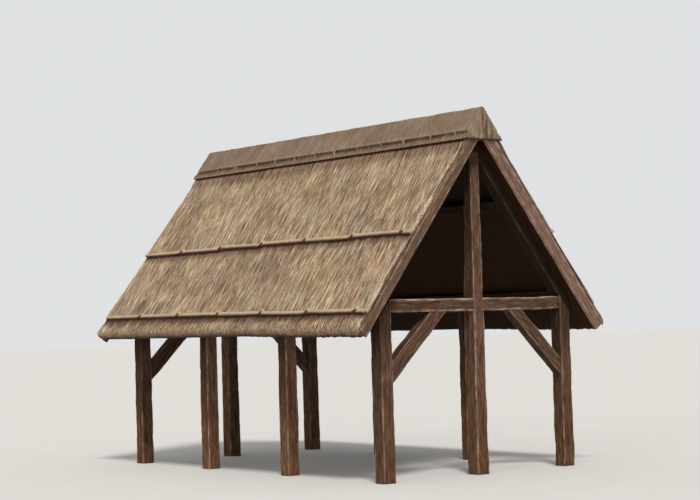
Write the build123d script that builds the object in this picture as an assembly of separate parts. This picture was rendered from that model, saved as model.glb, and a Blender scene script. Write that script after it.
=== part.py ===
from build123d import *
import math
import os

# A tabletop miniature of an open pole barn: a braced timber frame under a thatched gable roof.
# X runs across the gable, Y along the ridge, Z up. The posts stand on z = 0.
# The origin is the middle of the roof's plan, and the front gable faces -Y.

# Frame plan
frame_width = 74.5
frame_length = 136.4
front_overhang = 4.35
back_overhang = 6.75
front_bay_left = 48.2
front_bay_right = 45.2
back_bay = 42.6

# Timbers
post_foot = 4.35
post_head = 4.1
wall_height = 55.0
tie_depth = 3.8
tie_width = 3.6
tie_drop = 0.44
left_brace_depth = 4.4
right_brace_depth = 3.9
brace_width = 3.2
brace_reach = 19.2
brace_drop = 18.5
rafter_depth = 3.3
rafter_width = 3.6
plate_width = 3.6
plate_rise = 1.8
purlin_width = 3.2
purlin_depth = 3.0
purlin_run = 51.0
ridge_beam_width = 3.0
ridge_beam_depth = 3.4
king_foot_depth = 4.9
king_waist_depth = 4.4
king_top_depth = 2.2
king_top_width = 3.6

# Thatch
roof_pitch = 52.2
thatch_thickness = 4.5
eave_overhang = 8.65
eave_round = 1.6
course_step = 0.6
lower_course = 5.6
upper_course = 34.6

# Verge boards
board_depth = 3.0
board_drop = 0.5
board_thickness = 1.4
board_gap = 0.4
board_chamfer = 0.5
bead_depth = 0.7
bead_proud = 0.3

# Ridge cap
cap_half_width = 7.85
cap_lap = 1.1
cap_band = 3.6
cap_band_step = 0.35
cap_proud = 0.45

# Thatching rods
rod_diameter = 1.5
rod_proud = 0.6
rod_setback = 1.2
rod_clearance = 0.05
lower_rod_short = 1.1
upper_rod_short = 0.3
binding_count = 6
binding_pitch = 24.5
first_binding = 4.5
binding_width = 1.4
binding_thickness = 0.3

# Places worked out from the values above
pitch = math.radians(roof_pitch)
steepness = math.tan(pitch)
roof_length = front_overhang + post_head + frame_length + back_overhang
verge = roof_length / 2
front_frame = -verge + front_overhang + post_head / 2
back_frame = front_frame + frame_length
back_side_post = back_frame - back_bay
wall_line = frame_width / 2
wall_face = wall_line + post_head / 2
inner_face = wall_line - post_head / 2
rafter_fall = rafter_depth / math.cos(pitch)
eave_x = wall_face + eave_overhang
thin_thatch = thatch_thickness - course_step


def underside(x):
    """Height of the thatch's underside at a distance x from the ridge line."""
    return wall_height + (wall_face - x) * steepness


def underside_x(z):
    """Distance from the ridge line at which the thatch's underside has the height z."""
    return wall_face - (z - wall_height) / steepness


def on_slope(run, rise):
    """Point of the right-hand slope: run up it from the eave, rise square out of its underside."""
    x = eave_x - run * math.cos(pitch) + rise * math.sin(pitch)
    z = underside(eave_x) + run * math.sin(pitch) + rise * math.cos(pitch)
    return (x, z)


def level_cut(rise):
    """Point at the height of the cap's base, on the line a distance rise out of the underside."""
    return (underside_x(cap_base) + rise / math.sin(pitch), cap_base)


cap_base = underside(cap_half_width - cap_lap) + thin_thatch / math.cos(pitch)
tie_top = underside(inner_face) - rafter_fall - tie_drop
tie_bottom = tie_top - tie_depth
ridge_beam_bottom = cap_base - ridge_beam_depth


def prism(outline, low_y, high_y):
    """Solid with an outline of (x, z) points, between two places along the ridge."""
    end = Plane(origin=(0, high_y, 0), x_dir=(1, 0, 0), z_dir=(0, -1, 0))
    face = end * make_face(Polyline(*outline, close=True))
    return extrude(face, amount=high_y - low_y, dir=(0, -1, 0))


def block(low_x, high_x, low_y, high_y, low_z, high_z):
    """Plain box between two corners."""
    return prism([(low_x, low_z), (high_x, low_z), (high_x, high_z), (low_x, high_z)], low_y, high_y)


def on_left(shape):
    """The same piece on the left-hand side."""
    return mirror(shape, about=Plane.YZ)


def tapered_post(x, y, top):
    """Square post that narrows from its foot to its head."""
    foot = Plane(origin=(x, y, 0)) * Rectangle(post_foot, post_foot)
    head = Plane(origin=(x, y, top)) * Rectangle(post_head, post_head)
    return loft([foot, head])


def uncut_post(frame_y):
    """Right-hand corner post before its head is cut."""
    return tapered_post(wall_line, frame_y, underside(inner_face))


def corner_post(frame_y):
    """Right-hand corner post, its head cut to the slope of the rafter that it carries."""
    under_rafter = underside(0) - rafter_fall
    far_under_rafter = underside(eave_x) - rafter_fall
    above = prism([(0, under_rafter), (eave_x, far_under_rafter), (eave_x, under_rafter)],
                  frame_y - post_foot, frame_y + post_foot)
    return uncut_post(frame_y) - above


def rafter(frame_y):
    """Right-hand principal rafter, plumb at the post's face and level under the ridge cap."""
    outline = [(wall_face, wall_height), level_cut(0), (0, cap_base),
               (0, underside(0) - rafter_fall), (wall_face, wall_height - rafter_fall)]
    return prism(outline, frame_y - rafter_width / 2, frame_y + rafter_width / 2)


def ridge_beam():
    """Beam from king post to king post, under the ridge cap."""
    return block(-ridge_beam_width / 2, ridge_beam_width / 2, front_frame - post_head / 2,
                 back_frame + post_head / 2, ridge_beam_bottom, cap_base)


def king_post(frame_y, outward):
    """Post from the ground to the ridge beam, thinner above the tie beam and halved over it.

    Its outward face is flush with those of the corner posts.
    """
    foot_y = frame_y + outward * (post_foot - king_foot_depth) / 2
    waist_y = frame_y + outward * (post_head - king_waist_depth) / 2
    top_y = frame_y + outward * (post_head - king_top_depth) / 2
    foot = Plane(origin=(0, foot_y, 0)) * Rectangle(post_foot, king_foot_depth)
    waist = Plane(origin=(0, waist_y, tie_top)) * Rectangle(post_head, king_waist_depth)
    top = Plane(origin=(0, top_y, ridge_beam_bottom)) * Rectangle(king_top_width, king_top_depth)
    post = loft([foot, waist]) + loft([waist, top])
    inner_edge = frame_y - outward * king_foot_depth
    lap = block(-post_foot, post_foot, min(frame_y, inner_edge), max(frame_y, inner_edge),
                tie_bottom, tie_top)
    return post - lap


def tie_beam(frame_y, king):
    """Tie beam between the corner posts, halved behind the king post."""
    post = uncut_post(frame_y)
    beam = block(-wall_line, wall_line, frame_y - tie_width / 2, frame_y + tie_width / 2,
                 tie_bottom, tie_top)
    return beam - post - on_left(post) - king


def brace(frame_y, post, depth):
    """Right-hand brace, from the corner post up to the underside of the tie beam."""
    lean = math.atan2(brace_drop, brace_reach)
    half_x = depth / 2 / math.sin(lean)
    half_z = depth / 2 / math.cos(lean)
    head_x = inner_face - brace_reach
    foot_x = inner_face + post_head / 2
    foot_z = tie_bottom - brace_drop * (foot_x - head_x) / brace_reach
    outline = [(head_x - half_x, tie_bottom), (head_x + half_x, tie_bottom),
               (foot_x, foot_z + half_z), (foot_x, foot_z - half_z)]
    return prism(outline, frame_y - brace_width / 2, frame_y + brace_width / 2) - post


def wall_plate():
    """Right-hand plate along the heads of the side posts, canted to the roof's underside."""
    low_x = wall_line - plate_width / 2
    high_x = wall_line + plate_width / 2
    top = tie_top + plate_rise
    outline = [(low_x, tie_bottom), (high_x, tie_bottom), (high_x, underside(high_x)),
               (underside_x(top), top), (low_x, top)]
    plate = prism(outline, front_frame + post_head / 2, back_frame - post_head / 2)
    return plate - uncut_post(front_frame) - uncut_post(back_frame)


def purlin():
    """Right-hand purlin, under the thatch from one gable's rafter to the other's."""
    outline = [on_slope(purlin_run, 0), on_slope(purlin_run + purlin_width, 0),
               on_slope(purlin_run + purlin_width, -purlin_depth), on_slope(purlin_run, -purlin_depth)]
    return prism(outline, front_frame + rafter_width / 2, back_frame - rafter_width / 2)


def courses():
    """Right-hand slope of thatch as three plain courses, each thickest at its lower edge."""
    outline = [on_slope(0, 0), on_slope(0, thatch_thickness),
               on_slope(lower_course, thin_thatch), on_slope(lower_course, thatch_thickness),
               on_slope(upper_course, thin_thatch), on_slope(upper_course, thatch_thickness),
               level_cut(thin_thatch), level_cut(0)]
    return prism(outline, -verge, verge)


def thatch():
    """Right-hand slope of thatch, with a rounded eave, beds for the rods and board rebates."""
    slope = courses()
    eave_edges = slope.edges().filter_by(Axis.Y).sort_by(Axis.Z)[:2]
    slope = fillet(eave_edges, eave_round)
    for course in (lower_course, upper_course):
        slope -= bar(course, -verge, verge, rod_diameter / 2 + rod_clearance)
    rebate = board_outline(0, board_depth + board_gap)
    slope -= prism(rebate, -verge, -verge + board_thickness)
    slope -= prism(rebate, verge - board_thickness, verge)
    return slope


def bar(course, low_y, high_y, radius):
    """Round bar on the line of a course's rod."""
    x, z = on_slope(course + rod_setback, thatch_thickness + rod_proud - rod_diameter / 2)
    end = Plane(origin=(x, high_y, z), x_dir=(1, 0, 0), z_dir=(0, -1, 0))
    return extrude(end * Circle(radius), amount=high_y - low_y, dir=(0, -1, 0))


def rod(course, short):
    """Right-hand thatching rod, bedded in the thatch and bound down with even bindings."""
    bound_rod = bar(course, -verge + short, verge - short, rod_diameter / 2)
    for turn in range(binding_count):
        start = -verge + first_binding + turn * binding_pitch - binding_width / 2
        collar = bar(course, start, start + binding_width, rod_diameter / 2 + binding_thickness)
        bound_rod += collar - courses()
    return bound_rod


def board_outline(low_rise, high_rise):
    """Outline of a strip along the roof's edge, level at the top and square at the eave."""
    return [on_slope(0, low_rise), on_slope(0, high_rise), level_cut(high_rise), level_cut(low_rise)]


def verge_board():
    """Right-hand board along the front edge of the roof, chamfered below and beaded above.

    Its lower edge hangs a little below the thatch's underside.
    """
    face_y = -verge + bead_proud
    board = prism(board_outline(-board_drop, board_depth), face_y, -verge + board_thickness)
    low_edge = board.edges().group_by(Axis.Y)[0].sort_by(SortBy.LENGTH)[-2:].sort_by(Axis.X)[0]
    board = chamfer(low_edge, board_chamfer)
    bead = prism(board_outline(board_depth - bead_depth, board_depth), -verge, face_y)
    return board + bead


def ridge_cap():
    """Closed cap of thatch over the ridge, with a thinner band along each lower edge."""
    band_x = cap_half_width - cap_band * math.cos(pitch)
    band_z = cap_base + cap_band * math.sin(pitch)
    lip_x = band_x + cap_band_step * math.sin(pitch)
    lip_z = band_z + cap_band_step * math.cos(pitch)
    right = [(cap_half_width, cap_base), (band_x, band_z), (lip_x, lip_z)]
    left = [(-x, z) for x, z in reversed(right)]
    apex = (0, lip_z + lip_x * steepness)
    return prism(right + [apex] + left, -verge - cap_proud, verge + cap_proud)


def gable_frame(name, frame_y, outward):
    """All timbers of one gable frame, by node name."""
    right_post = corner_post(frame_y)
    king = king_post(frame_y, outward)
    right_rafter = rafter(frame_y) - ridge_beam() - king
    return {
        f"post_{name}_right": right_post,
        f"post_{name}_left": on_left(right_post),
        f"king_post_{name}": king,
        f"tie_beam_{name}": tie_beam(frame_y, king),
        f"brace_{name}_right": brace(frame_y, right_post, right_brace_depth),
        f"brace_{name}_left": on_left(brace(frame_y, right_post, left_brace_depth)),
        f"rafter_{name}_right": right_rafter,
        f"rafter_{name}_left": on_left(right_rafter),
    }


def long_timbers():
    """Side posts, wall plates, purlins and the ridge beam, by node name."""
    pieces = {"ridge_beam": ridge_beam()}
    near_y = {"right": front_frame + front_bay_right, "left": front_frame + front_bay_left}
    for side, x in (("right", wall_line), ("left", -wall_line)):
        pieces[f"side_post_near_{side}"] = tapered_post(x, near_y[side], tie_bottom)
        pieces[f"side_post_far_{side}"] = tapered_post(x, back_side_post, tie_bottom)
    right_hand = {"wall_plate": wall_plate(), "purlin": purlin()}
    for name, shape in right_hand.items():
        pieces[f"{name}_right"] = shape
        pieces[f"{name}_left"] = on_left(shape)
    return pieces


def roof():
    """Thatch, verge boards, ridge cap and rods, by node name."""
    pieces = {"ridge_cap": ridge_cap()}
    front_board = verge_board()
    right_hand = {
        "thatch": thatch(),
        "verge_board_front": front_board,
        "verge_board_back": mirror(front_board, about=Plane.XZ),
        "rod_lower": rod(lower_course, lower_rod_short),
        "rod_upper": rod(upper_course, upper_rod_short),
    }
    for name, shape in right_hand.items():
        pieces[f"{name}_right"] = shape
        pieces[f"{name}_left"] = on_left(shape)
    return pieces


def main():
    os.makedirs("parts", exist_ok=True)
    pieces = {}
    pieces.update(gable_frame("front", front_frame, -1))
    pieces.update(gable_frame("back", back_frame, 1))
    pieces.update(long_timbers())
    pieces.update(roof())
    for name, shape in pieces.items():
        export_step(shape, f"parts/{name}.step")


main()
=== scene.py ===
import bpy
import bmesh
import math
import random
import numpy as np
from mathutils import Matrix, Vector, noise


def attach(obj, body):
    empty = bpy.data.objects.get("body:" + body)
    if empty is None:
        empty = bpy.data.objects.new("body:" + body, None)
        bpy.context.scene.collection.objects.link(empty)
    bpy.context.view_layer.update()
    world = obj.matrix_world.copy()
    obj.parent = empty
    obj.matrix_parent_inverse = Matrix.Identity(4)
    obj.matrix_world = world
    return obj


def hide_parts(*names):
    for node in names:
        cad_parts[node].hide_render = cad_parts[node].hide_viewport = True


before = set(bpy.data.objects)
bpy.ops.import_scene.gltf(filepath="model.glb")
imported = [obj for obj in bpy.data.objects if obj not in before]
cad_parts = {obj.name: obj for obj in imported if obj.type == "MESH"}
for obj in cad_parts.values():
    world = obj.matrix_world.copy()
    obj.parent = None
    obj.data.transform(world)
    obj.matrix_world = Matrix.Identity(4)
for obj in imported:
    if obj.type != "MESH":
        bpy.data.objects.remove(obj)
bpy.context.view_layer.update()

from types import SimpleNamespace

# Sizes repeated from the part's source, in millimetres and degrees
MM = 0.001
roof_pitch = 52.2
verge = 75.8
wall_face = 39.3
wall_height = 55.0
eave_x = 47.95
thatch_thickness = 4.5
thin_thatch = 3.9
eave_round = 1.6
board_thickness = 1.4
board_rebate = 3.4
course_edge = {"lower": 5.6, "upper": 34.6}
rod_setback = 1.2
rod_rise = 4.35
rod_short = {"lower": 1.1, "upper": 0.3}
cap_base = 103.33
cap_half_width = 7.85
cap_band = 3.6
cap_band_step = 0.35
cap_end = verge + 0.45
brace_reach = 19.2
brace_drop = 18.5

# Up the slope from a course's edge: its lip, and the middle of the bed that its rod presses in it
lip_run = 0.95
bed_run = 0.8

# Radius of a rod without its relief, and its bindings, front to back
rod_radius = 0.7
first_binding = {"lower": -71.1, "upper": -71.6}
binding_pitch = 24.5
binding_count = 6
binding_slant = -0.4

# How far up the slope a rod and the course edge under it lie, a step before and a step after each binding
stray_step = 0.6
stray_levels = {
    ("lower", "left"): (-0.9, -0.75, -0.35, -0.65, -0.3, -0.2, 0.0, 0.05, 0.25, 0.2, 0.35, 0.4),
    ("lower", "right"): (0.8, 0.3, 0.5, 0.1, 0.3, -0.2, 0.0, -0.1, 0.1, 0.0, 0.2, -0.1),
    ("upper", "left"): (-0.3, -0.1, 0.0, -0.3, -0.1, 0.15, 0.35, -0.15, 0.3, -0.2, -0.2, -0.2),
    ("upper", "right"): (0.6, 0.2, 0.4, 0.0, 0.2, -0.2, 0.0, 0.0, 0.2, 0.1, 0.2, 0.0),
}

# Places and directions worked out from the values above
pitch = math.radians(roof_pitch)
binding_places = {
    row: [first + binding_pitch * turn for turn in range(binding_count)]
    for row, first in first_binding.items()
}
side_sign = {"right": 1, "left": -1}
up_slope = {
    side: Vector((-sign * math.cos(pitch), 0, math.sin(pitch)))
    for side, sign in side_sign.items()
}
out_of_slope = {
    side: Vector((sign * math.sin(pitch), 0, math.cos(pitch)))
    for side, sign in side_sign.items()
}
eave_line = {
    side: Vector((sign * eave_x, 0, wall_height + (wall_face - eave_x) * math.tan(pitch)))
    for side, sign in side_sign.items()
}
top_run = (cap_base - eave_line["right"].z - thin_thatch * math.cos(pitch)) / math.sin(pitch)
under_run = (cap_base - eave_line["right"].z) / math.sin(pitch)


def on_slope(side, run, rise):
    """Point of a slope in millimetres: run up it from the eave, rise square out of its underside."""
    return eave_line[side] + up_slope[side] * run + out_of_slope[side] * rise


def on_cap(side, run, rise):
    """Point of the ridge cap in millimetres: run up from its lower edge, rise square out of the slope."""
    lower_edge = Vector((side_sign[side] * cap_half_width, 0, cap_base))
    return lower_edge + up_slope[side] * run + out_of_slope[side] * rise


def rod_stray(row, side, y):
    """Millimetres that a rod strays up the slope at a place along the roof, with a step at each binding."""
    places = [place + step for place in binding_places[row] for step in (-stray_step, stray_step)]
    return np.interp(y, places, stray_levels[(row, side)])


def clamped(value, low=0.0):
    """Value held between a low end and 1."""
    return min(1.0, max(low, value))


def near(distance, reach):
    """1 at a distance of nought, falling evenly to 0 at the reach."""
    return np.clip(1 - np.abs(distance) / reach, 0, 1)


# Paint

paint_shine = 0.2
# Painted warm tint of light bounced up off the ground, on timbers up to this height
ground_bounce_tint = (0.93, 0.85, 0.66, 1.0)
ground_bounce_height = 45 * MM
# Dark wash over a timber: partly its own darker tone, partly painted shade under the roof and on faces that
# look sideways or in
dark_wash_and_shade = (0.16, 0.11, 0.085, 1.0)
# Painted shadow brown for the darkest shade: under the rods and the cap, and inside the roof
painted_shadow_brown = (45, 24, 6)

# Soft blotches on the straw: their tint, and their size across the straws and along them
straw_blotches = {
    "dull": ((0.74, 0.74, 0.77, 1.0), 12.0, 14.0),
    "bleached": ((1.29, 1.37, 1.38, 1.0), 8.5, 13.0),
    "rosy": ((1.01, 0.89, 0.88, 1.0), 7.0, 9.0),
    "ochre": ((1.01, 0.98, 0.88, 1.0), 10.0, 12.0),
}


def paint_colour(card):
    """Colour of a paint, from its red, green and blue on a colour card, 0 to 255."""
    shares = [value / 255 for value in card]
    return (*(v / 12.92 if v <= 0.04045 else ((v + 0.055) / 1.055) ** 2.4 for v in shares), 1.0)


def add_node(tree, kind, inputs=None, **settings):
    """New node with its settings, and its sockets set to a value or joined to another socket."""
    new = tree.nodes.new("ShaderNode" + kind)
    for key, value in settings.items():
        setattr(new, key, value)
    for socket, value in (inputs or {}).items():
        if isinstance(value, bpy.types.NodeSocket):
            tree.links.new(value, new.inputs[socket])
        else:
            new.inputs[socket].default_value = value
    return new


def brushed_over(tree, amount, below, above, way="MIX"):
    """One colour over another."""
    mix = add_node(tree, "Mix", {0: amount, 6: below, 7: above}, data_type="RGBA", blend_type=way)
    return mix.outputs[2]


def graded(tree, value, low, high, from_value=0.0, to_value=1.0):
    """Value spread from the range low to high, and held inside it."""
    spread = add_node(tree, "MapRange", {"Value": value, "From Min": low, "From Max": high,
                                         "To Min": from_value, "To Max": to_value})
    return spread.outputs["Result"]


def joined(tree, way, first, second):
    """Two values worked together."""
    return add_node(tree, "Math", {0: first, 1: second}, operation=way).outputs[0]


def times(tree, first, second):
    """One value times another."""
    return joined(tree, "MULTIPLY", first, second)


def total(tree, first, *others):
    """Values added up in turn."""
    for other in others:
        first = joined(tree, "ADD", first, other)
    return first


def tinted(tree, value, stops):
    """Colour picked from a row of colours by a value."""
    ramp = add_node(tree, "ValToRGB", {"Fac": value})
    elements = ramp.color_ramp.elements
    while len(elements) < len(stops):
        elements.new(0.5)
    for element, (place, colour) in zip(elements, stops):
        element.position = place
        element.color = colour
    return ramp.outputs["Color"]


def streaks(tree, grain, across, along, detail=3.0, roughness=0.6, distortion=0.0):
    """Noise drawn out along the grain; across and along are its cell sizes in millimetres."""
    place = add_node(tree, "Mapping", {"Vector": grain, "Scale": (1 / across, 1 / across, 1 / along)})
    cells = add_node(tree, "TexNoise", {"Vector": place.outputs[0], "Scale": 1.0, "Detail": detail,
                                        "Roughness": roughness, "Distortion": distortion})
    return cells.outputs["Fac"]


def painted_plastic(name, bump_height):
    """New paint, with the grain and the wear and painted shading that each piece keeps, and a bump of a
    height in millimetres.
    """
    material = bpy.data.materials.new(name)
    material.use_nodes = True
    tree = material.node_tree
    shader = tree.nodes["Principled BSDF"]
    shader.inputs["Specular IOR Level"].default_value = paint_shine
    grain = add_node(tree, "Attribute", attribute_name="grain").outputs["Vector"]
    kept_wear_and_shading = add_node(tree, "Attribute", attribute_name="wear_and_shading").outputs["Vector"]
    wear_and_shading = add_node(tree, "SeparateXYZ", {0: kept_wear_and_shading}).outputs
    bump = add_node(tree, "Bump", {"Strength": 1.0, "Distance": bump_height * MM})
    tree.links.new(bump.outputs[0], shader.inputs["Normal"])
    return SimpleNamespace(material=material, tree=tree, shader=shader, grain=grain, wear_and_shading=wear_and_shading, bump=bump)


def coated(paint, colour, roughness, height):
    """Material of a paint with its colour, roughness and bump joined on."""
    paint.tree.links.new(colour, paint.shader.inputs["Base Color"])
    paint.tree.links.new(roughness, paint.shader.inputs["Roughness"])
    paint.tree.links.new(height, paint.bump.inputs["Height"])
    return paint.material


def stained_timber(name, hollow, body, rub, arris, warm, cell=0.3, grainy=0.65):
    """Dark stain in the grain, a lighter rub on its ridges, dry-brushed arrises, a painted warm tint of light
    bounced off the ground near it, and a dark wash that is partly painted shade.

    cell is the width of the grain's finest lines in millimetres, and grainy how strongly the grain shows.
    """
    hollow, body, rub, arris, warm = (paint_colour(card) for card in (hollow, body, rub, arris, warm))
    paint = painted_plastic(name, 0.14)
    tree, grain, wear_and_shading = paint.tree, paint.grain, paint.wear_and_shading
    fine = streaks(tree, grain, cell, 3.8, 3.0, 0.6, 0.8)
    ribs = streaks(tree, grain, cell * 2.2, 8.0, 2.0, 0.5, 0.5)
    patches = streaks(tree, grain, 3.5, 12.0, 2.0)
    specks = streaks(tree, grain, 0.3, 0.7, 2.0)

    # Scratches lie where a wavy noise passes its middle
    wavy = streaks(tree, grain, 0.95, 8.0, 2.0, 0.5, 0.7)
    off_line = joined(tree, "ABSOLUTE", joined(tree, "SUBTRACT", wavy, 0.52), 0.0)
    scratch = times(tree, graded(tree, off_line, 0.015, 0.075, 1.0, 0.0), graded(tree, fine, 0.4, 0.62))

    # Relief, fine grain and ribs together, moved so that a middling spot gets the body colour
    relief_part, fine_part, rib_part, body_place = 0.42, 0.85, 0.5, 0.505
    middling = (relief_part + fine_part + rib_part) / 2
    worn = total(tree, times(tree, wear_and_shading["X"], relief_part), times(tree, fine, fine_part),
                 times(tree, ribs, rib_part))
    worn = joined(tree, "SUBTRACT", times(tree, worn, grainy), middling * grainy - body_place)

    colour = tinted(tree, worn, [(0.27, hollow), (0.5, body), (0.74, rub)])
    colour = brushed_over(tree, graded(tree, patches, 0.42, 0.7, 0.0, 0.5), colour, warm)
    colour = brushed_over(tree, times(tree, scratch, 0.3 * grainy), colour, arris)
    broken = graded(tree, total(tree, specks, fine), 0.8, 1.15, 0.25, 1.0)
    colour = brushed_over(tree, times(tree, wear_and_shading["Z"], broken), colour, arris)
    # Painted warm light bounced up off the ground, stronger nearer it
    height = add_node(tree, "SeparateXYZ", {0: add_node(tree, "TexCoord").outputs["Object"]}).outputs["Z"]
    bounce_lit = graded(tree, height, 0.0, ground_bounce_height, 1.0, 0.0)
    colour = brushed_over(tree, bounce_lit, colour, ground_bounce_tint, "MULTIPLY")
    # Dark wash: the timber's own darker tone, and painted shade under the roof and on faces that look
    # sideways or in
    colour = brushed_over(tree, wear_and_shading["Y"], colour, dark_wash_and_shade, "MULTIPLY")
    relief = total(tree, fine, times(tree, ribs, 0.8), scratch, times(tree, specks, 0.3))
    return coated(paint, colour, graded(tree, worn, 0.2, 0.8, 0.92, 0.72), relief)


def dry_brushed_straw(name, hollow, body, straw, tip, stain_and_shade, stem=0.52, lay=1.0, rough=0.09, blotchy=0.85):
    """Dark between the straws and a pale dry brush over them, with a brown stain where the wash has pooled
    and where shade is painted, and a painted shadow brown where they run darkest.

    stem is the width of a straw and rough the height of its bump, in millimetres. lay is how strongly the
    straws show, and blotchy how strongly the blotches do.
    """
    hollow, body, straw, tip, shadow = (paint_colour(card) for card in (hollow, body, straw, tip, painted_shadow_brown))
    paint = painted_plastic(name, rough)
    tree, grain, wear_and_shading = paint.tree, paint.grain, paint.wear_and_shading
    fine = streaks(tree, grain, stem * 0.6, 2.6, 3.0, 0.6)
    stems = streaks(tree, grain, stem, 6.0, 2.0, 0.55, 0.3)
    grains = streaks(tree, grain, 0.3, 0.45, 2.0, 0.5)

    # Relief, straws and grains together, less what the straws bring at a middling spot
    relief_part, stem_part, fine_part, grain_part, lighter = 0.27, 0.92 * lay, 0.4 * lay, 0.42, 0.185
    parts = total(tree, times(tree, stems, stem_part), times(tree, fine, fine_part),
                  times(tree, grains, grain_part))
    lifted = total(tree, times(tree, wear_and_shading["X"], relief_part), parts)
    lifted = joined(tree, "SUBTRACT", lifted, (stem_part + fine_part) / 2 - lighter)

    colour = tinted(tree, lifted, [(0.26, hollow), (0.44, body), (0.66, straw), (0.88, tip)])
    for tint, across, along in straw_blotches.values():
        spots = streaks(tree, grain, across, along, 3.0, 0.6)
        colour = brushed_over(tree, graded(tree, spots, 0.46, 0.64, 0.0, blotchy), colour, tint, "MULTIPLY")
    colour = brushed_over(tree, times(tree, wear_and_shading["Z"], graded(tree, grains, 0.35, 0.6)), colour, tip)
    # Brown stain where the wash has pooled, and painted shade where shade falls
    colour = brushed_over(tree, graded(tree, wear_and_shading["Y"], 0.0, 0.5), colour, stain_and_shade, "MULTIPLY")
    # Painted shadow brown where the wash and shade run darkest
    colour = brushed_over(tree, graded(tree, wear_and_shading["Y"], 0.5, 1.0), colour, shadow)
    relief = total(tree, times(tree, fine, lay), times(tree, grains, 0.6), times(tree, stems, lay))
    return coated(paint, colour, graded(tree, lifted, 0.2, 1.0, 0.95, 0.75), relief)


timber_stain = stained_timber(
    "timber_stain", hollow=(57, 35, 23), body=(92, 65, 46), rub=(122, 93, 73), arris=(180, 160, 143),
    warm=(92, 56, 40), grainy=0.75)
# Dark copy of the timber stain: painted shade on the timbers inside, under the roof
shaded_inner_stain = stained_timber(
    "shaded_inner_stain", hollow=(17, 9, 2), body=(31, 17, 5), rub=(47, 29, 14), arris=(84, 58, 40),
    warm=(37, 18, 6))
# Lighter copy of the timber stain: painted light on the side posts under the eaves
lit_side_post_stain = stained_timber(
    "lit_side_post_stain", hollow=(64, 40, 27), body=(104, 74, 53), rub=(136, 105, 84), arris=(196, 176, 158),
    warm=(104, 64, 47), grainy=0.7)
board_stains = {
    "left": stained_timber(
        "dull_board_stain", hollow=(69, 49, 34), body=(101, 76, 56), rub=(131, 105, 82),
        arris=(188, 164, 138), warm=(101, 73, 52), cell=0.8, grainy=0.5),
    "right": stained_timber(
        "rosy_board_stain", hollow=(85, 61, 50), body=(118, 90, 76), rub=(147, 119, 103),
        arris=(196, 174, 155), warm=(121, 86, 73), cell=0.8, grainy=0.5),
}
thatch_paint = dry_brushed_straw(
    "thatch_paint", hollow=(80, 59, 43), body=(130, 108, 86), straw=(174, 154, 128), tip=(226, 209, 186),
    stain_and_shade=(0.57, 0.5, 0.5, 1.0))
ridge_paint = dry_brushed_straw(
    "ridge_paint", hollow=(80, 62, 48), body=(112, 93, 77), straw=(134, 116, 98), tip=(182, 164, 143),
    stain_and_shade=(0.6, 0.52, 0.46, 1.0), stem=0.7, lay=0.24, blotchy=0.7)
rod_paint = dry_brushed_straw(
    "rod_paint", hollow=(94, 69, 50), body=(144, 118, 96), straw=(178, 153, 128), tip=(208, 188, 162),
    stain_and_shade=(0.5, 0.42, 0.36, 1.0), stem=0.4, lay=0.32, rough=0.06, blotchy=0.4)


# Pieces

def mark(shape, grain, wear_and_shading):
    """Keep on each point of a shape its place along the grain and its wear and shading: relief, wash with
    painted shade, and dry brush with painted highlights.
    """
    for key, values in (("grain", grain), ("wear_and_shading", wear_and_shading)):
        layer = shape.verts.layers.float_vector.new(key)
        for vert, value in zip(shape.verts, values):
            vert[layer] = value


def mark_plainly(shape, wear_and_shading):
    """Mark a small trimming, with each point's own place as its grain."""
    mark(shape, [v.co / MM for v in shape.verts], wear_and_shading)


def add_to(shape, trimming):
    """Join a marked trimming to a marked shape."""
    mesh = bpy.data.meshes.new("trimming")
    bmesh.ops.recalc_face_normals(trimming, faces=trimming.faces)
    trimming.to_mesh(mesh)
    trimming.free()
    shape.from_mesh(mesh)
    bpy.data.meshes.remove(mesh)


def finish_piece(shape, name, node, material):
    """Make a marked shape a piece that stands for a CAD node."""
    mesh = bpy.data.meshes.new(name)
    shape.to_mesh(mesh)
    shape.free()
    mesh.shade_smooth()
    mesh.materials.append(material)
    piece = bpy.data.objects.new(name, mesh)
    bpy.context.scene.collection.objects.link(piece)
    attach(piece, "root")
    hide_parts(node)


def everything(shape):
    """All points, edges and faces of a shape."""
    return shape.verts[:] + shape.edges[:] + shape.faces[:]


def points_and_normals(shape):
    """Places of a shape's points in millimetres, and their normals."""
    shape.verts.ensure_lookup_table()
    places = np.array([v.co[:] for v in shape.verts]) / MM
    normals = np.array([v.normal[:] for v in shape.verts])
    return places, normals


def move_points(shape, places):
    """Put a shape's points at places given in millimetres."""
    for vert, place in zip(shape.verts, places * MM):
        vert.co = place


def bevel(shape, geom, offset, segments, affect):
    """Round some edges or corners of a shape, by an offset in millimetres."""
    bmesh.ops.bevel(shape, geom=geom, offset=offset * MM, offset_type="OFFSET", segments=segments,
                    profile=0.5, affect=affect, clamp_overlap=True, material=-1)


def cut_across(shape, direction, step):
    """Cut a shape into even slices square to a direction, so that its surface can be carved."""
    places = [v.co.dot(direction) for v in shape.verts]
    low, high = min(places), max(places)
    count = max(1, round((high - low) / step))
    for cut in range(1, count):
        place = low + (high - low) * cut / count
        bmesh.ops.bisect_plane(shape, geom=everything(shape), dist=1e-7, plane_co=direction * place,
                               plane_no=direction)


# Timbers

def merged_copy(node):
    """Copy of a CAD node's mesh with its doubles merged and each flat face whole."""
    shape = bmesh.new()
    shape.from_mesh(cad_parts[node].data)
    bmesh.ops.remove_doubles(shape, verts=shape.verts, dist=1e-6)
    bmesh.ops.dissolve_limit(shape, angle_limit=0.02, verts=shape.verts, edges=shape.edges)
    return shape


def arrises(shape):
    """Sharp edges of a shape, over 20 degrees."""
    return [e for e in shape.edges if len(e.link_faces) == 2 and e.calc_face_angle() > 0.35]


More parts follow.
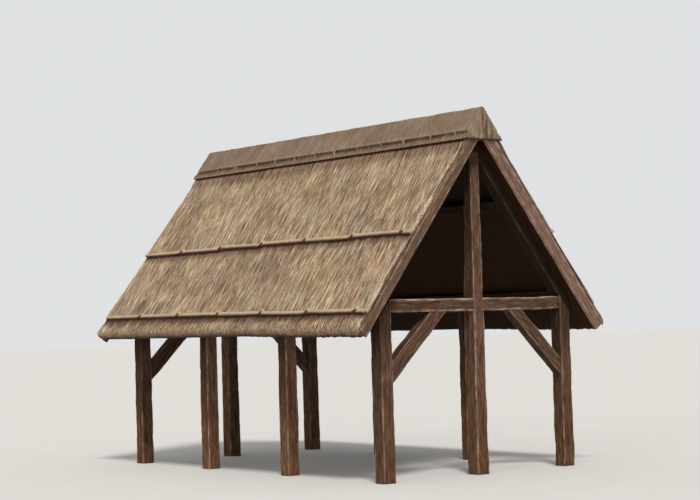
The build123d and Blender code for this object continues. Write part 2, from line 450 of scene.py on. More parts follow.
def arris_lines(shape, along):
    """Both ends of each arris that runs with the grain, in millimetres."""
    ends = [[np.array(v.co) / MM for v in e.verts] for e in arrises(shape)]
    return [(a, b) for a, b in ends if abs((b - a) @ np.array(along)) > 0.9 * np.linalg.norm(b - a)]


def line_gaps(places, lines):
    """Distance of each point from the nearest of some lines."""
    gaps = []
    for start, end in lines:
        way = end - start
        part = np.clip((places - start) @ way / (way @ way), 0, 1)
        gaps.append(np.linalg.norm(places - start - part[:, None] * way, axis=1))
    return np.min(gaps, axis=0)


def grain_noise(spot, across, along, bend=0.0, shift=(0, 0, 0)):
    """Noise at a spot of a timber, in cells with a width across the grain and a length along it."""
    cell = Vector((spot.x / across + bend, spot.y / across + bend, spot.z / along))
    return noise.noise(cell + Vector(shift))


def painted_roof_shade(place, normal, reach):
    """Painted shade under the thatch, where the roof keeps the light off, which reaches far further down on
    faces that look sideways.
    """
    if not reach:
        return 0.0
    below_roof = -max((place - eave_line[side]).dot(out_of_slope[side]) for side in side_sign)
    sideways = clamped(2.2 * abs(normal.x) - 1)
    long_roof_shade = min(0.88, 1.1 * (1 - below_roof / reach[0])) * sideways
    return max(0.0, long_roof_shade, min(0.6, 1.25 * (1 - below_roof / reach[1])))


def painted_face_shade(normal, outward, side_shade, inner_shade):
    """Painted shade on the faces of a gable timber that look sideways or in."""
    facing_out, facing_in = (clamped(2 * way * normal.y * outward - 0.3) for way in (1, -1))
    return max(side_shade * (1 - facing_out), inner_shade * facing_in)


def aged_timber(node, along, across, slot, material, seed, rounding=0.12, slices=(0.7, 0.3), depth=1.0,
                bow=0.17, brush=1.0, brush_reach=0.55, outward=0, own_wash=0.0, side_shade=0.0,
                inner_shade=0.0, roof_shade_reach=(32, 8.4)):
    """Timber with softened wavy arrises, and drying cracks that wander along its grain.

    rounding softens its arrises. slices are the steps that its surface is cut in, along the grain and
    across it. depth is how strong its relief is, and bow how far it wanders off its line. brush is how
    strongly its arrises are dry-brushed, with a painted highlight that is stronger where they face up, and
    brush_reach how far from them. outward is -1 on a timber of the front gable and 1 on one of the back
    gable. own_wash is the dark wash all over, side_shade the painted shade on faces that don't look outward,
    and inner_shade that on faces that look in. roof_shade_reach is how far the painted shade under the
    thatch reaches below it, on faces that look sideways and on the others. Lengths are in millimetres.
    """
    other = along.cross(across)
    shape = merged_copy(node)
    lines = arris_lines(shape, along)
    bevel(shape, arrises(shape), rounding, 2, "EDGES")
    for direction, step in ((across, slices[1]), (other, slices[1]), (along, slices[0])):
        cut_across(shape, direction, step * MM)
    bmesh.ops.recalc_face_normals(shape, faces=shape.faces)
    shape.normal_update()

    # Each timber has its own place in the noise, so that no two look alike
    own_place = Vector((seed * 17.3, seed * 7.9, seed * 31.1))
    arris_gap = line_gaps(np.array([v.co[:] for v in shape.verts]) / MM, lines)
    grain, wear_and_shading, moved = [], [], []
    for vert, on_arris, in_reach in zip(shape.verts, near(arris_gap, 0.3), near(arris_gap, brush_reach)):
        place = vert.co / MM
        spot = Vector((place.dot(across), place.dot(other), place.dot(along))) + own_place
        bend = 0.9 * noise.noise(Vector((spot.x * 0.3, spot.y * 0.3, spot.z * 0.17)))
        crack = max(0.0, 1 - abs(grain_noise(spot, 1.2, 13, bend)) / 0.1)
        rib = grain_noise(spot, 0.7, 6, bend, (40, 0, 0))
        lump = grain_noise(spot, 3.5, 6, shift=(0, 30, 0))
        chip = max(0.0, grain_noise(spot, 4, 2.6, shift=(0, 70, 0)) - 0.1)
        raised = 0.06 + depth * (0.08 * rib + 0.12 * lump - 0.13 * crack - 0.24 * on_arris * chip)
        sway = across * noise.noise(Vector((0, 9, spot.z / 9)))
        sway += other * noise.noise(Vector((9, 0, spot.z / 9)))
        moved.append((place + vert.normal * raised + sway * bow) * MM)
        grain.append(spot)

        # Dark wash: the timber's own darker tone all over, and painted shade under the roof and on faces that
        # look sideways or in
        wash_and_shade = max(own_wash, painted_roof_shade(place, vert.normal, roof_shade_reach),
                   painted_face_shade(vert.normal, outward, side_shade, inner_shade))
        # Dry brush on the arrises, with a painted highlight that is stronger where they face up
        broken = grain_noise(spot, 3, 2.8, shift=(0, 0, 90))
        brushed_and_highlit = brush * clamped(0.5 + 0.9 * broken + 0.9 * max(0.0, vert.normal.z), 0.2) * in_reach
        wear_and_shading.append((clamped(0.5 + 0.8 * rib - 0.5 * crack), wash_and_shade * (1 - 0.7 * min(1.0, brushed_and_highlit)),
                     brushed_and_highlit * (1 - wash_and_shade)))
    for vert, place in zip(shape.verts, moved):
        place.z = max(place.z, 0.0)
        vert.co = place
    mark(shape, grain, wear_and_shading)
    finish_piece(shape, "aged_" + node, node, material)


# Thatch

def drawn_along(outline, corners, low, high, steps, cuts, fine_edges):
    """Closed bar from a flat outline of (x, z) points, some rounded, drawn along Y in fine rings.

    corners gives (number of the point, radius). The bar is drawn in steps, each cut again by cuts, and
    fine_edges(length, middle) gives the cuts of an edge of its outline.
    """
    shape = bmesh.new()
    points = [shape.verts.new((x * MM, low * MM, z * MM)) for x, z in outline]
    shape.faces.new(points)
    for number, radius in corners:
        bevel(shape, [points[number]], radius, 5, "VERTICES")
    for edge in shape.edges[:]:
        middle = (edge.verts[0].co + edge.verts[1].co) / 2 / MM
        count = fine_edges(edge.calc_length() / MM, middle)
        if count:
            bmesh.ops.subdivide_edges(shape, edges=[edge], cuts=count)
    step = (high - low) / steps * MM
    bmesh.ops.spin(shape, geom=everything(shape), cent=(0, 0, 0), axis=(0, 1, 0), dvec=(0, step, 0), angle=0,
                   steps=steps)
    lengthwise = [e for e in shape.edges if abs(e.verts[0].co.y - e.verts[1].co.y) > step / 2]
    bmesh.ops.subdivide_edges(shape, edges=lengthwise, cuts=cuts, use_grid_fill=True)
    bmesh.ops.recalc_face_normals(shape, faces=shape.faces)
    shape.normal_update()
    return shape


def straw_layer(rows, columns, row_size, column_size, count, seed, length=(5, 13), width=(0.42, 0.95),
                height=(0.07, 0.22), tilt=13, lean_back=0.17):
    """Heights of straws laid over one another, butt ends down, on a fine grid in millimetres.

    tilt is how far they lean either way, in degrees, and lean_back how far all lean the same way.
    """
    chance = random.Random(seed)
    layer = np.zeros((rows, columns))
    for _ in range(count):
        long = chance.uniform(*length)
        half = chance.uniform(*width) / 2
        high = chance.uniform(*height)
        foot = chance.uniform(-long * 0.5, rows * row_size)
        middle = chance.uniform(0, columns * column_size)
        lean = math.tan(math.radians(chance.gauss(0, tilt * 0.6))) + lean_back
        curl = chance.uniform(-0.02, 0.02)
        first, last = max(0, int(foot / row_size)), min(rows, int((foot + long) / row_size) + 1)
        if last <= first:
            continue
        up = np.arange(first, last) * row_size - foot
        centre = middle + lean * up + curl * up * up / 4
        left = max(0, int((centre.min() - half) / column_size))
        right = min(columns, int((centre.max() + half) / column_size) + 2)
        if right <= left:
            continue
        off = (np.arange(left, right) * column_size)[None, :] - centre[:, None]
        round_top = np.sqrt(np.clip(1 - (off / half) ** 2, 0, 1))
        fall = np.clip(1 - up / long, 0, 1)[:, None] ** 0.5
        butt = np.clip(up / 0.8 + 0.3, 0, 1)[:, None]
        patch = layer[first:last, left:right]
        np.maximum(patch, high * round_top * fall * butt, out=patch)
    return layer


def soft_hills(rows, columns, row_cell, column_cell, seed):
    """Soft uneven swells from -1 to 1 on the same kind of grid."""
    chance = np.random.default_rng(seed)
    few = chance.uniform(-1, 1, (max(2, rows // row_cell + 2), max(2, columns // column_cell + 2)))
    down = np.linspace(0, few.shape[0] - 1.001, rows)
    across = np.linspace(0, few.shape[1] - 1.001, columns)
    i, j = down.astype(int), across.astype(int)
    s, t = (down - i)[:, None], (across - j)[None, :]
    s, t = s * s * (3 - 2 * s), t * t * (3 - 2 * t)
    a, b = few[np.ix_(i, j)], few[np.ix_(i, j + 1)]
    c, d = few[np.ix_(i + 1, j)], few[np.ix_(i + 1, j + 1)]
    return (a * (1 - t) + b * t) * (1 - s) + (c * (1 - t) + d * t) * s


def read_grid(grid, row, column):
    """Heights of a grid at points between its rows and columns."""
    row = np.clip(row, 0, grid.shape[0] - 1.001)
    column = np.clip(column, 0, grid.shape[1] - 1.001)
    i, j = row.astype(int), column.astype(int)
    s, t = row - i, column - j
    return ((grid[i, j] * (1 - t) + grid[i, j + 1] * t) * (1 - s)
            + (grid[i + 1, j] * (1 - t) + grid[i + 1, j + 1] * t) * s)


def uneven_line(column, columns, cell, seed):
    """Soft uneven line from -1 to 1 along the roof, read at each point's column of such a grid."""
    return read_grid(soft_hills(8, columns, 4, cell, seed), np.full_like(column, 3.0), column)


def thatch_outline(side):
    """Outline of a slope of thatch in three courses, with a lip at each course's edge."""
    profile = [(0, 0), (0, thatch_thickness)]
    for edge in course_edge.values():
        profile += [(edge - 0.6, thin_thatch), (edge + 0.35, thin_thatch + 0.05),
                    (edge + 0.7, thin_thatch - 0.1), (edge + lip_run, thatch_thickness - 0.25),
                    (edge + 1.5, thatch_thickness)]
    profile += [(top_run, thin_thatch), (under_run, 0)]
    return [(p.x, p.z) for p in (on_slope(side, run, rise) for run, rise in profile)]


def thatch_spots(places, side):
    """Where each point of a slope lies, in millimetres.

    run is up the slope, rise out of it, and down_eave down the face of the eave. lay is along the straws,
    which droop over the eave.
    """
    from_eave = places - np.array(eave_line[side])
    run = from_eave @ np.array(up_slope[side])
    rise = from_eave @ np.array(out_of_slope[side])
    down_eave = np.where(run < 1.7, np.clip(thatch_thickness - rise, 0, None), 0)
    return SimpleNamespace(
        y=places[:, 1], run=run, rise=rise, down_eave=down_eave, lay=run - down_eave,
        from_verge=verge - np.abs(places[:, 1]), on_top=rise > 2.8, under=(rise < 0.3) & (run > 0.9))


def thatch_straws(at, column, columns, column_size, seed):
    """Height of the straws at each point of a slope, the swell under them, and how far they stand out.

    The grid of straws starts 6 mm before the eave, so that straws droop over it.
    """
    row_size, before, slope_length = 0.25, 6.0, 74
    rows = int(slope_length / row_size)
    straws = straw_layer(rows, columns, row_size, column_size, 7200, seed)
    tufts = straw_layer(rows, columns, row_size, column_size, 1300, seed + 1, length=(3, 7),
                        width=(0.4, 0.75), height=(0.2, 0.3), tilt=14)
    straws = np.maximum(straws, tufts)
    row = (at.lay + before) / row_size
    height = read_grid(straws, row, column)
    swell = read_grid(soft_hills(rows, columns, 44, 50, seed + 2), row, column)
    local = height - read_grid(straws, row, column + 4) * 0.25 - read_grid(straws, row, column - 4) * 0.25
    return height, swell, local


def thatch_relief(at, height, swell, ragged):
    """How far each point of a slope moves out along its normal, in millimetres."""
    eave = np.clip(at.down_eave / 1.5, 0, 1)
    bed = np.ones_like(at.y)
    for edge in course_edge.values():
        bed = np.minimum(bed, np.clip((np.abs(at.lay - edge - bed_run) - 0.4) / 0.7, 0.15, 1))
    amount = (height - 0.13) * bed * (1 - 0.5 * eave) + 0.08 * swell + eave * (0.05 * ragged - 0.04)
    amount = np.where(at.under, 0.3 * (height - 0.2), amount)
    under_cap = 0.4 * np.clip((at.lay - top_run + 5.5) / 3.5, 0, 1) * at.on_top
    return amount + under_cap


def shaped_thatch(places, at, side, ragged):
    """Places of a slope's points once its edges stray, droop and are rebated for the verge boards."""
    up, out = np.array(up_slope[side]), np.array(out_of_slope[side])
    for row, edge in course_edge.items():
        drift = rod_stray(row, side, at.y) * near(at.run - edge - bed_run, 4.2) * at.on_top
        places += up * drift[:, None]
    droop = np.clip((-12 - at.y) / 45, 0, 1) * np.clip(1 - at.run / 3.2, 0, 1)
    places[:, 2] -= 0.85 * droop * (1 + 0.25 * ragged)
    rounded = 0.25 * np.clip(1 - at.from_verge / 0.4, 0, 1) ** 2 * at.on_top
    places -= out * rounded[:, None]
    own_place = 1 if side == "left" else 0
    rough = np.array([noise.noise(Vector((r / 1.1, own_place, s / 0.5))) for r, s in zip(at.lay, at.rise)])
    in_end = (at.from_verge < 0.05) * at.on_top
    places[:, 1] -= np.sign(at.y) * np.clip(0.1 + 0.2 * rough, 0, 0.3) * in_end
    rebate_top = np.where(at.from_verge < 0.35, board_rebate - 0.12, board_rebate - 0.38)
    in_rebate = (at.from_verge < board_thickness) & (at.rise < rebate_top)
    places += out * np.where(in_rebate, rebate_top - at.rise * 0.98, 0)[:, None]
    return places


def thatch_wash_and_shade(at, pooled):
    """Brown wash and painted shade on a slope: a line of painted shadow under each rod and the cap, with a
    brown stain below each, darker down the eave, dark brown paint with painted shade underneath, and painted
    shade at the rebates.
    """
    wash_and_shade = np.where(at.on_top & (at.lay < course_edge["lower"]), 0.07, 0.0)
    for edge, strength in zip(course_edge.values(), (0.7, 0.54)):
        below = edge + lip_run - at.lay
        # A dark line of painted shadow right under each rod, and a brown stain fading below it
        wash_and_shade = np.maximum(wash_and_shade, np.where((below > 0) & (below < 1.15 + 0.2 * pooled), 0.9, 0))
        wash_and_shade = np.maximum(wash_and_shade, strength * np.clip((3.9 + 1.3 * pooled - below) / 1.9, 0, 1) * (below > 0))
    below_cap = top_run - 1.7 - at.lay
    # A brown stain below the cap, and a dark line of painted shadow right under it
    wash_and_shade = np.maximum(wash_and_shade, 0.42 * np.clip((4.4 + 1.4 * pooled - below_cap) / 2.4, 0, 1))
    wash_and_shade = np.maximum(wash_and_shade, np.where(below_cap < -0.35 + 0.2 * pooled, 0.95, 0))
    wash_and_shade = np.maximum(wash_and_shade, np.clip((at.down_eave - 0.6) / 2.4, 0, 0.9) ** 1.2)
    # Underneath: dark brown paint and painted shade
    wash_and_shade = np.where(at.under, 1.0, wash_and_shade)
    wash_and_shade = np.where(at.in_end & (at.rise > 2), 0.52, wash_and_shade)
    # Painted shade in the rebates behind the verge boards
    return np.where((at.from_verge < board_thickness) & ~at.on_top, 0.4, wash_and_shade)


def laid_thatch(side, seed):
    """Slope of thatch: straws over one another in three courses, a soft eave, and a brown wash with a line of
    painted shadow under each rod.
    """
    def cuts(length, middle):
        under = (middle - on_slope(side, 30, 0)).dot(out_of_slope[side]) < 0.05
        return int(length / 9) if under else int(length / 0.56)

    corners = [(0, eave_round), (1, eave_round)]
    shape = drawn_along(thatch_outline(side), corners, -verge, verge, 75, 7, cuts)
    places, normals = points_and_normals(shape)
    at = thatch_spots(places, side)
    at.in_end = (at.from_verge < 0.35) & (at.rise < thatch_thickness - 0.22)
    column_size = 0.125
    column, columns = (at.y + verge) / column_size, int(2 * verge / column_size) + 2
    height, swell, local = thatch_straws(at, column, columns, column_size, seed)
    ragged = uneven_line(column, columns, 7, seed + 3)
    places = places + normals * thatch_relief(at, height, swell, ragged)[:, None]
    move_points(shape, shaped_thatch(places, at, side, ragged))

    wash_and_shade = thatch_wash_and_shade(at, uneven_line(column, columns, 18, seed + 5))
    crest = np.clip(1.35 - at.from_verge / 1.0, 0, 1) * at.on_top * ~at.in_end * (wash_and_shade < 0.6)
    grain = np.stack([at.y - 0.13 * at.lay + 200 + seed * 3, at.rise, at.lay], 1)
    wear_and_shading = np.stack([np.clip(0.15 + local / 0.26, 0, 1), wash_and_shade, 0.6 * crest], 1)
    mark(shape, grain, wear_and_shading)
    finish_piece(shape, "laid_thatch_" + side, "thatch_" + side, thatch_paint)


# Ridge cap

def cap_outline():
    """Outline of the ridge cap, with a lip above the band on each side, and the number of its apex."""
    half = [(0.0, 0.0), (0.4, 0.12), (1.5, 0.0), (2.3, -0.2), (3.3, -0.3), (3.5, 0.28), (4.0, cap_band_step)]
    right = [on_cap("right", *p) for p in half]
    apex_height = right[-1].z + right[-1].x * math.tan(pitch)
    left = [Vector((-p.x, 0, p.z)) for p in reversed(right)]
    return [(p.x, p.z) for p in right] + [(0, apex_height)] + [(p.x, p.z) for p in left], len(right)


def slice_ends(shape):
    """Cut both ends of the cap into strips across and up, so that they can be grooved."""
    for end in (-1, 1):
        for direction, size in ((Vector((1, 0, 0)), 0.2), (Vector((0, 0, 1)), 0.8)):
            reach = [v.co.dot(direction) for f in shape.faces if abs(f.normal.y) > 0.9 for v in f.verts]
            low, high = min(reach), max(reach)
            count = round((high - low) / MM / size)
            for cut in range(1, count):
                faces = [f for f in shape.faces if f.normal.y * end > 0.9]
                edges = list({e for f in faces for e in f.edges})
                verts = list({v for f in faces for v in f.verts})
                bmesh.ops.bisect_plane(shape, geom=verts + edges + faces, dist=1e-7, plane_no=direction,
                                       plane_co=direction * (low + (high - low) * cut / count))


def cap_straws(at, seed):
    """How far the cap's straw stands out and how raised it looks: tails in the band, smooth above it."""
    row_size, column_size = 0.3, 0.125
    rows, columns = int(18 / row_size), int(2 * cap_end / column_size) + 2
    row, column = (at.run + 1) / row_size, (at.y + cap_end) / column_size
    amount, relief = np.zeros_like(at.x), np.zeros_like(at.x)
    for sign in (-1, 1):
        here = at.x * sign >= 0
        smooth = straw_layer(rows, columns, row_size, column_size, 420, seed + sign, length=(3, 9),
                             width=(0.35, 0.8), height=(0.05, 0.14), tilt=34)
        tails = straw_layer(rows, columns, row_size, column_size, 1500, seed + 5 + sign, length=(1.2, 3.6),
                            width=(0.35, 0.7), height=(0.08, 0.26), tilt=8)
        hills = read_grid(soft_hills(rows, columns, 16, 40, seed + 9 + sign), row, column)
        band = at.run < 3.4
        high = np.where(band, read_grid(tails, row, column), read_grid(smooth, row, column))
        ragged = uneven_line(column, columns, 11, seed + 13 + sign)
        grown = (high + 0.12 * hills + 0.14 * ragged * near(at.run - cap_band, 0.5)
                 + 0.12 * ragged * near(at.run, 0.6))
        amount = np.where(here, grown - 0.06, amount)
        relief = np.where(here, np.where(band, high / 0.26, 0.35 + high / 0.2), relief)
    return np.where(at.base | at.in_end, 0, amount), relief


def end_ribs(x, z):
    """Ribs of straw in the cap's ends, and how strong they are across them."""
    rib = np.array([noise.noise(Vector((px * 1.9, 3.1, pz * 0.1)))
                    + 0.5 * noise.noise(Vector((px * 1.1, 8.0, pz * 0.15))) for px, pz in zip(x, z)])
    return rib, 0.2 + 1.0 * np.clip(1.4 - np.abs(x - 1.0) / 2.6, 0, 1)


def cap_wash_and_shade(at, rib, strong, seed):
    """Painted shade on the cap: underneath, and in boxes along its band under the lip, with a brown wash and
    painted shade in the grooves of its ends.
    """
    wash_and_shade = np.where(at.base, 0.75, 0.0)
    boxes = uneven_line((at.y + cap_end) / 0.1, 2400, 50, seed + 21)
    in_box = np.clip(np.minimum((3.5 - at.run) / 0.2, (at.run - 1.5) / 1.1), 0, 1)
    wash_and_shade = np.maximum(wash_and_shade, (0.66 + 0.16 * boxes) * in_box)
    grooves = np.where(at.lip, 0.0, np.clip(-1.5 * rib * strong, 0, 0.62))
    return np.where(at.in_end & ~at.base, grooves, wash_and_shade)


def cap_crest(at, wash_and_shade):
    """Pale dry brush on the cap: along its lips and lower edges, round its ends and on their ribs."""
    crest = np.maximum(0.9 * near(at.run - 3.7, 0.4), 0.45 * near(at.run - 0.2, 0.5)) * ~at.in_end
    crest = np.maximum(crest, 0.6 * near(np.abs(at.y) - cap_end, 0.4) * ~at.in_end)
    return np.where(at.in_end & ~at.base, np.where(at.lip, 0.75, 0.26 * (1 - wash_and_shade)), crest)


def sewn_ridge_cap(seed):
    """Ridge cap: smoothed straw with a lip, a sewn band below it, and grooved ends."""
    def cuts(length, middle):
        return int(length / 1.2) if middle.z < cap_base + 0.02 else int(length / 0.6)

    outline, apex = cap_outline()
    shape = drawn_along(outline, [(apex, 0.9)], -cap_end, cap_end, 76, 7, cuts)
    slice_ends(shape)
    bmesh.ops.recalc_face_normals(shape, faces=shape.faces)
    shape.normal_update()
    places, normals = points_and_normals(shape)
    x, y, z = places.T
    run = (z - cap_base) * math.sin(pitch) + (cap_half_width - np.abs(x)) * math.cos(pitch)
    at = SimpleNamespace(x=x, y=y, run=run, base=z < cap_base + 0.02, lip=z < cap_base + 0.75,
                         in_end=np.abs(y) > cap_end - 0.02)

    amount, relief = cap_straws(at, seed)
    in_band = np.clip(np.minimum(run / 0.8, (cap_band - run) / 0.3), 0, 1)
    closed = near(np.abs(y) - cap_end, 1.6) * in_band * ~at.base * ~at.in_end
    places = places + normals * (amount + 0.5 * closed)[:, None]
    rib, strong = end_ribs(x, z)
    sunk = np.where(at.lip, 0.0, 0.22 + 0.7 * np.clip(-rib, -0.3, 1) * strong)
    inner = at.in_end & (run > 0.5) & ~at.base
    places[:, 1] -= np.sign(y) * np.where(inner, np.clip(sunk, 0, 0.6), 0)
    move_points(shape, places)

    wash_and_shade = cap_wash_and_shade(at, rib, strong, seed)
    grain = np.stack([np.where(at.in_end, x, y + 300), np.sign(x), run], 1)
    wear_and_shading = np.stack([np.clip(relief, 0, 1), wash_and_shade, cap_crest(at, wash_and_shade)], 1)
    mark(shape, grain, wear_and_shading)
    sew_band(shape, seed)
    finish_piece(shape, "sewn_ridge_cap", "ridge_cap", ridge_paint)


def sew_band(shape, seed):
    """Sew the cap's bands down with short slanted cords, some of them double."""
    chance = random.Random(seed)
    high_end, twin_gap = 3.95, 0.9
    for side in ("left", "right"):
        place = -cap_end + 6.5
        while place < cap_end - 3:
            for twin in ((0.0, twin_gap) if chance.random() < 0.3 else (0.0,)):
                low_end = chance.uniform(0.7, 1.9)
                slant = (high_end - low_end) * chance.uniform(0.35, 0.8)
                top = on_cap(side, high_end, 0.4) + Vector((0, place + twin, 0))
                foot = on_cap(side, low_end, 0.12) + Vector((0, place + twin - slant, 0))
                add_to(shape, stitch(top, foot, out_of_slope[side] * 0.14, chance.uniform(0.14, 0.19)))
            place += chance.uniform(11.0, 13.4)


def stitch(top, foot, bow, radius):
    """Short cord laid from one point to another, bowed outwards in its middle."""
    shape = bmesh.new()
    length, way = (foot - top).length, (foot - top).normalized()
    turned = way.to_track_quat("Z", "Y").to_matrix().to_4x4()
    bmesh.ops.create_cone(shape, cap_ends=True, segments=7, radius1=radius * MM, radius2=radius * MM,
                          depth=length * MM, matrix=Matrix.Translation((top + foot) / 2 * MM) @ turned)
    sides = [e for e in shape.edges if e.calc_length() > length * MM * 0.9]
    bmesh.ops.subdivide_edges(shape, edges=sides, cuts=3)
    for vert in shape.verts:
        part = clamped((vert.co / MM - top).dot(way) / length)
        vert.co += bow * (math.sin(math.pi * part) - 0.4) * MM
    mark_plainly(shape, [(0.75, 0.0, 0.2)] * len(shape.verts))
    return shape


# Thatching rods

def rod_bend(row, side, seed, places):
    """How far up the slope a crooked rod lies at places along the roof, in millimetres."""
    crook = np.array([noise.noise(Vector((place / 13, seed, 0.5))) for place in places])
    return rod_stray(row, side, places) + 0.15 * crook


def bound_rod(side, row, seed):
    """Thatching rod, a little crooked, held down by slanted turns of cord."""
    low, high = -verge + rod_short[row], verge - rod_short[row]
    axis = on_slope(side, course_edge[row] + rod_setback, rod_rise)
    shape = bmesh.new()
    bmesh.ops.create_cone(shape, cap_ends=True, segments=14, radius1=rod_radius * MM, radius2=rod_radius * MM,
                          depth=(high - low) * MM,
                          matrix=Matrix.Translation(axis * MM) @ Matrix.Rotation(math.pi / 2, 4, "X"))
    ends = [f for f in shape.faces if len(f.verts) > 4]
    bevel(shape, list({e for f in ends for e in f.edges}), 0.25, 2, "EDGES")
    lengthwise = [e for e in shape.edges if abs(e.verts[0].co.y - e.verts[1].co.y) > 50 * MM]
    bmesh.ops.subdivide_edges(shape, edges=lengthwise, cuts=260)
    shape.normal_update()
    places, normals = points_and_normals(shape)
    y = places[:, 1]
    out, up = np.array(out_of_slope[side]), np.array(up_slope[side])
    lift = np.array([noise.noise(Vector((v / 10, seed, 7.5))) for v in y])
    knots = np.array([noise.noise(Vector((p[0] / 1.2, v / 2.4, p[2] / 1.2))) for p, v in zip(places, y)])
    bend = rod_bend(row, side, seed, y)
    places = places + up * bend[:, None] + out * (0.07 * lift)[:, None] + normals * (0.06 * knots)[:, None]

    # The cord pinches the rod, and painted shade lies dark in the notch beside it
    pinch, shade = np.zeros_like(y), np.zeros_like(y)
    slanted = y - binding_slant * (normals @ up)
    for place in binding_places[row]:
        pinch = np.maximum(pinch, near(slanted - place - 0.4, 0.9))
        shade = np.maximum(shade, near(slanted - place - 0.62, 0.46))
    places -= normals * (0.16 * pinch)[:, None]
    move_points(shape, places)
    # Painted shade on the rod's downhill underside and in the notches, and a painted highlight on its outer
    # face
    facing = normals @ out
    wash_and_shade = np.maximum(0.8 * np.clip(-(normals @ up) * 3.5 - 2.3, 0, 1), 0.95 * (shade > 0.02))
    grain = [(0.7 * math.atan2(n @ up, n @ out), seed * 9, v) for n, v in zip(normals, y)]
    wear_and_shading = [(0.72 + 0.35 * k, w, 0.35 * max(0, f)) for k, w, f in zip(knots, wash_and_shade, facing)]
    mark(shape, grain, wear_and_shading)
    bind_rod(shape, side, row, axis, seed)
    name = f"rod_{row}_{side}"
    finish_piece(shape, "bound_" + name, name, rod_paint)


def bind_rod(shape, side, row, axis, seed):
    """Bind a rod at its places with two turns of cord and a knot, the first a large one."""
    chance = random.Random(seed)
    for place, sway in zip(binding_places[row], rod_bend(row, side, seed, binding_places[row])):
        centre = axis + up_slope[side] * float(sway) + Vector((0, place, 0))
        for start in (-0.42, 0.0):
            add_to(shape, cord_turn(side, centre + Vector((0, start, 0)), chance.uniform(0.16, 0.2)))
        lump = 0.6 if place == binding_places[row][0] else chance.uniform(0.44, 0.52)
        add_to(shape, cord_knot(side, centre, lump))


def cord_turn(side, middle, radius):
    """One slanted turn of cord round a rod."""
    shape = bmesh.new()
    out, along = out_of_slope[side], Vector((0, 1, 0))
    face = Matrix((along, out, along.cross(out))).transposed().to_4x4()
    start = middle + out * (rod_radius + 0.06)
    bmesh.ops.create_circle(shape, cap_ends=False, segments=8, radius=radius * MM,
                            matrix=Matrix.Translation(start * MM) @ face)
    bmesh.ops.spin(shape, geom=everything(shape), cent=middle * MM, axis=along, angle=2 * math.pi, steps=16,
                   use_merge=True)
    for vert in shape.verts:
        vert.co.y += binding_slant * (vert.co - middle * MM).dot(up_slope[side]) / rod_radius
    # Painted shade on the lower part of each turn, and dry brush with a painted highlight on its upper part
    below = [(v.co - middle * MM).dot(up_slope[side]) < 0.15 * MM for v in shape.verts]
    mark_plainly(shape, [(0.85, 0.85 * low, 0.45 * (1 - low)) for low in below])
    return shape


def cord_knot(side, centre, radius):
    """Lumpy knot of a binding, on the uphill side of its rod."""
    shape = bmesh.new()
    place = centre + up_slope[side] * 0.72 + out_of_slope[side] * 0.42 + Vector((0, binding_slant + 0.1, 0))
    bmesh.ops.create_icosphere(shape, subdivisions=2, radius=radius * MM,
                               matrix=Matrix.Translation(place * MM))
    for vert in shape.verts:
        vert.co += (vert.co - place * MM) * 0.5 * noise.noise(vert.co / MM * 1.7)
    mark_plainly(shape, [(0.85, 0.0, 0.5)] * len(shape.verts))
    return shape


# Making the pieces. Each seed belongs to one piece

standing = (Vector((0, 0, 1)), Vector((1, 0, 0)))
lying_x = (Vector((1, 0, 0)), Vector((0, 0, 1)))
lying_y = (Vector((0, 1, 0)), Vector((1, 0, 0)))

# Painted shade under the roof on the posts, and on the corner posts a darker tone all over
corner_tone_and_shade = {"own_wash": 0.12, "roof_shade_reach": (32, 17)}
king_roof_shade = {"roof_shade_reach": (46, 9)}
side_post_roof_shade = {"near": {"roof_shade_reach": (26, 7.5)}, "far": {"roof_shade_reach": (33, 9)}}
roof_wood = {"slices": (0.9, 0.35), "roof_shade_reach": None}
board_wood = {"rounding": 0.1, "slices": (0.6, 0.24), "depth": 0.45, "bow": 0.05, "brush_reach": 0.34,
              "side_shade": 0.12, "inner_shade": 0.5, "roof_shade_reach": None}


def gable_timbers(end, outward, seed):
    """Timbers and verge boards of one gable."""
    # Painted shade on the faces of the gable timbers that look in
    facing = {"outward": outward, "inner_shade": 0.4}
    aged_timber(f"post_{end}_left", *standing, "timber", timber_stain, seed, **facing, **corner_tone_and_shade)
    aged_timber(f"post_{end}_right", *standing, "timber", timber_stain, seed + 1, **facing, **corner_tone_and_shade)
    aged_timber(f"king_post_{end}", *standing, "timber", timber_stain, seed + 2, **facing, **king_roof_shade)
    aged_timber(f"tie_beam_{end}", *lying_x, "timber", timber_stain, seed + 3, brush=2.4, brush_reach=0.7,
                own_wash=0.25, **facing)
    for side, first in (("left", seed + 4), ("right", seed + 7)):
        down_brace = Vector((side_sign[side] * brace_reach, 0, -brace_drop)).normalized()
        across_brace = down_brace.cross(Vector((0, 1, 0)))
        slope = (up_slope[side], out_of_slope[side])
        # Painted shade on the faces of the braces that don't look outward
        aged_timber(f"brace_{end}_{side}", down_brace, across_brace, "timber", timber_stain, first,
                    side_shade=0.5, own_wash=0.2, **facing)
        aged_timber(f"rafter_{end}_{side}", *slope, "timber", shaded_inner_stain, first + 1, roof_shade_reach=None)
        aged_timber(f"verge_board_{end}_{side}", *slope, "verge_boards", board_stains[side], first + 2,
                    outward=outward, **board_wood)


def side_timbers(side, seed):
    """Side posts, wall plate and purlin of one side."""
    for number, (place, post_shade) in enumerate(side_post_roof_shade.items()):
        aged_timber(f"side_post_{place}_{side}", *standing, "timber", lit_side_post_stain, seed + number,
                    brush=1.2, **post_shade)
    aged_timber(f"wall_plate_{side}", *lying_y, "timber", shaded_inner_stain, seed + 2, **roof_wood)
    aged_timber(f"purlin_{side}", lying_y[0], out_of_slope[side], "timber", shaded_inner_stain, seed + 3,
                **roof_wood)


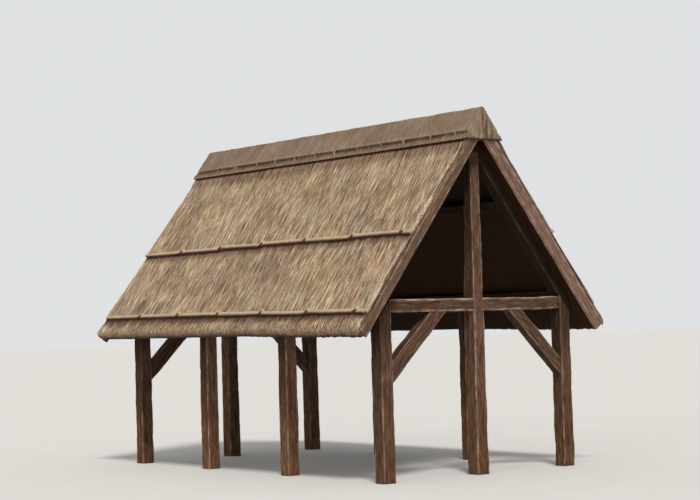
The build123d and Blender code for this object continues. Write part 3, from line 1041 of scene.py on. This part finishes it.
gable_timbers("front", -1, 1)
gable_timbers("back", 1, 11)
side_timbers("left", 21)
side_timbers("right", 25)
aged_timber("ridge_beam", *lying_y, "timber", shaded_inner_stain, 29, **roof_wood)
for side, straw_seed, rod_seed in (("left", 11, 3), ("right", 31, 5)):
    laid_thatch(side, straw_seed)
    bound_rod(side, "lower", rod_seed)
    bound_rod(side, "upper", rod_seed + 1)
sewn_ridge_cap(60)


# Floor, light and camera

def lay_floor():
    """Plain pale floor."""
    shape = bmesh.new()
    bmesh.ops.create_grid(shape, x_segments=2, y_segments=2, size=4.0)
    mesh = bpy.data.meshes.new("floor")
    shape.to_mesh(mesh)
    shape.free()
    floor = bpy.data.objects.new("floor", mesh)
    bpy.context.scene.collection.objects.link(floor)
    paint = bpy.data.materials.new("floor_paint")
    paint.use_nodes = True
    tree = paint.node_tree
    shader = tree.nodes["Principled BSDF"]
    place = add_node(tree, "TexCoord").outputs["Object"]
    spots = add_node(tree, "TexNoise", {"Vector": place, "Scale": 60.0, "Detail": 2.0}).outputs["Fac"]
    tree.links.new(brushed_over(tree, spots, (0.64, 0.62, 0.59, 1), (0.69, 0.67, 0.64, 1)),
                   shader.inputs["Base Color"])
    shader.inputs["Roughness"].default_value = 0.9
    shader.inputs["Specular IOR Level"].default_value = 0.1
    mesh.materials.append(paint)


def sun(name, towards, strength, softness):
    """Soft warm light that comes from a direction, softness degrees wide."""
    lamp = bpy.data.lights.new(name, "SUN")
    lamp.energy = strength
    lamp.angle = math.radians(softness)
    lamp.color = (1.0, 0.985, 0.96)
    holder = bpy.data.objects.new(name, lamp)
    holder.rotation_mode = "QUATERNION"
    holder.rotation_quaternion = Vector(towards).to_track_quat("Z", "Y")
    bpy.context.scene.collection.objects.link(holder)


def light_studio():
    """Soft light from all round, and a pale backdrop where the camera and reflections see it."""
    world = bpy.data.worlds.new("studio")
    bpy.context.scene.world = world
    world.use_nodes = True
    studio = world.node_tree
    studio.nodes.clear()
    rays = add_node(studio, "LightPath").outputs
    mirrored = total(studio, rays["Is Glossy Ray"], rays["Is Transmission Ray"])
    seen = total(studio, rays["Is Camera Ray"], mirrored)
    soft_light = add_node(studio, "Background", {"Color": (0.98, 0.99, 1.0, 1.0), "Strength": 0.48})
    backdrop = add_node(studio, "Background", {"Color": (0.74, 0.755, 0.77, 1.0), "Strength": 1.0})
    both = add_node(studio, "MixShader", {0: seen, 1: soft_light.outputs[0], 2: backdrop.outputs[0]})
    add_node(studio, "OutputWorld", {"Surface": both.outputs[0]})


def place_camera(place, yaw, tip, roll):
    """Camera at a place in metres, turned by yaw about the vertical, tipped up and rolled, in degrees."""
    lens = bpy.data.cameras.new("camera")
    lens.sensor_width = 36
    lens.lens = 90.07
    lens.clip_start = 0.01
    lens.clip_end = 50
    camera = bpy.data.objects.new("camera", lens)
    yaw, tip, roll = (math.radians(angle) for angle in (yaw, tip, roll))
    forward = Vector((-math.sin(yaw) * math.cos(tip), math.cos(yaw) * math.cos(tip), math.sin(tip)))
    level = Vector((math.cos(yaw), math.sin(yaw), 0))
    upright = level.cross(forward)
    sideways = level * math.cos(roll) + upright * math.sin(roll)
    upwards = upright * math.cos(roll) - level * math.sin(roll)
    placing = Matrix((sideways, upwards, -forward)).transposed().to_4x4()
    placing.translation = place
    camera.matrix_world = placing
    bpy.context.scene.collection.objects.link(camera)
    bpy.context.scene.camera = camera


lay_floor()
sun("key_light", (-0.3, -0.5, 0.81), 2.32, 12)
sun("side_light", (-0.85, -0.48, 0.25), 0.78, 60)
light_studio()
place_camera((-0.36548, -0.47514, 0.04750), -38.016, 2.427, -1.633)
bpy.context.scene.view_settings.view_transform = "Standard"

bpy.context.view_layer.update()
